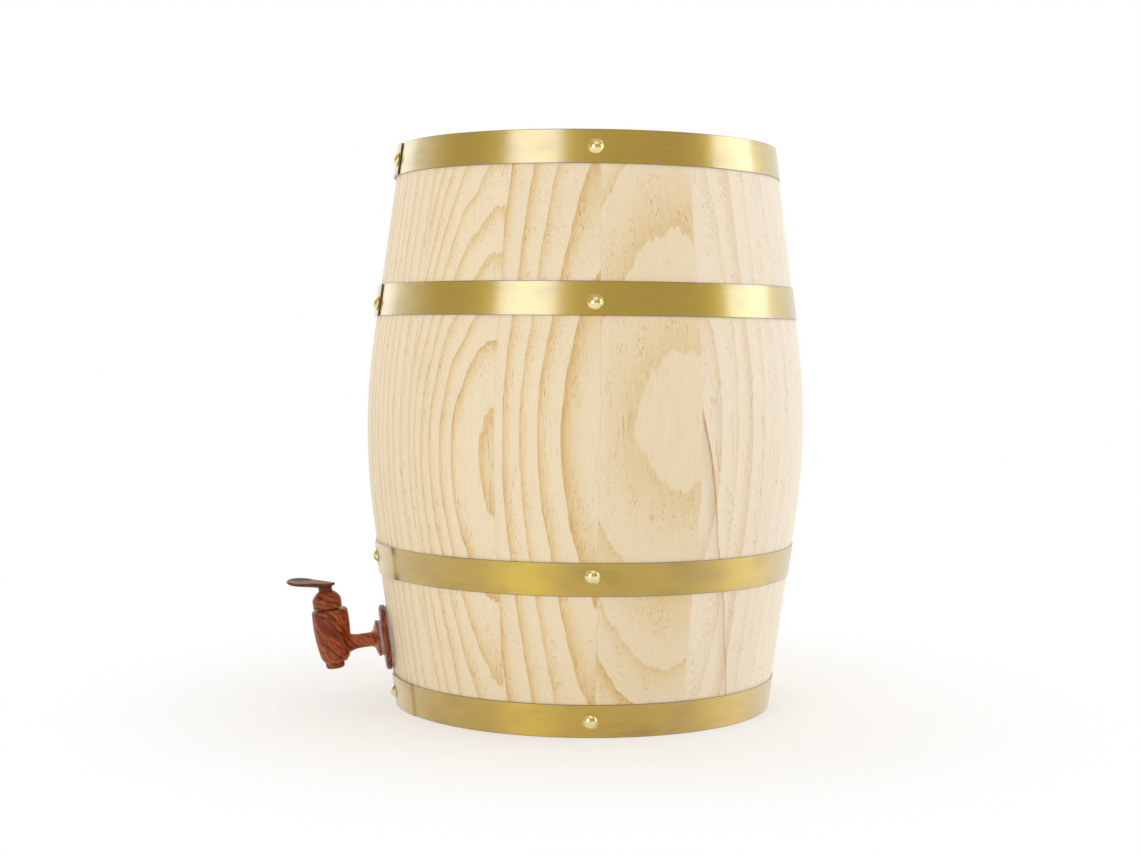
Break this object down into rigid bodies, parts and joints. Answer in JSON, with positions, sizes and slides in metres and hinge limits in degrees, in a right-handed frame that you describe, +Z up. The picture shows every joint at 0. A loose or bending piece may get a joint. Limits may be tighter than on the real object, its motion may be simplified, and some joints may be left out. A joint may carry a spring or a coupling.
{
  "type": "wine barrel",
  "caption": "Small standing wine barrel of pine staves held by nailed brass hoops, with a turned wooden tap low on its side and a bung in its top head.",
  "frame": {"origin": "centre of the base, on the barrel's axis, at the level of the lower stave ends", "axes": "+Z up along the barrel's axis, -X towards the tap"},
  "size_m": [0.3073, 0.26, 0.33],
  "materials": {
    "pine": "planed, clear and pale, with honey growth rings",
    "dowel": "plain turned",
    "bung": "turned and sanded",
    "hoop_brass": "brushed along the strip",
    "nail_brass": "polished",
    "tap_wood": "glossy reddish brown with dark grain",
    "key_nylon": "moulded",
    "grey_rubber": "matt",
    "seal": "matt"
  },
  "bodies": {
    "barrel": {"stave_1": "pine", "stave_2": "pine", "stave_3": "pine", "stave_4": "pine", "stave_5": "pine", "stave_6": "pine", "stave_7": "pine", "stave_8": "pine", "stave_9": "pine", "stave_10": "pine", "stave_11": "pine", "stave_12": "pine", "stave_13": "pine", "stave_14": "pine", "top_board_1": "pine", "top_board_2": "pine", "top_board_3": "pine", "top_board_4": "pine", "top_board_5": "pine", "bottom_board_1": "pine", "bottom_board_2": "pine", "bottom_board_3": "pine", "bottom_board_4": "pine", "bottom_board_5": "pine", "top_dowels": "dowel", "bottom_dowels": "dowel", "hoop_1": "hoop_brass", "hoop_2": "hoop_brass", "hoop_3": "hoop_brass", "hoop_4": "hoop_brass", "hoop_nails_1": "nail_brass", "hoop_nails_2": "nail_brass", "hoop_nails_3": "nail_brass", "hoop_nails_4": "nail_brass", "tap_body": "tap_wood", "tap_bonnet": "tap_wood", "wall_plate": "tap_wood", "tap_nut": "key_nylon", "flange_washer": "grey_rubber", "wall_gasket": "grey_rubber", "inner_washer": "grey_rubber"},
    "tap_handle": {"tap_key": "key_nylon", "key_seal_ring": "seal", "tap_lever": "tap_wood"},
    "bung": {"bung": "bung"}
  },
  "joints": [
    {"name": "tap_turn", "type": "hinge", "parent": "barrel", "child": "tap_handle", "pos_m": [-0.15009, 0, 0.03501], "axis": [-0.1351, 0, 0.9908], "range_deg": [0, 90]},
    {"name": "bung_lift", "type": "slide", "parent": "barrel", "child": "bung", "axis": [0, 0, 1], "range_m": [0, 0.05]}
  ]
}
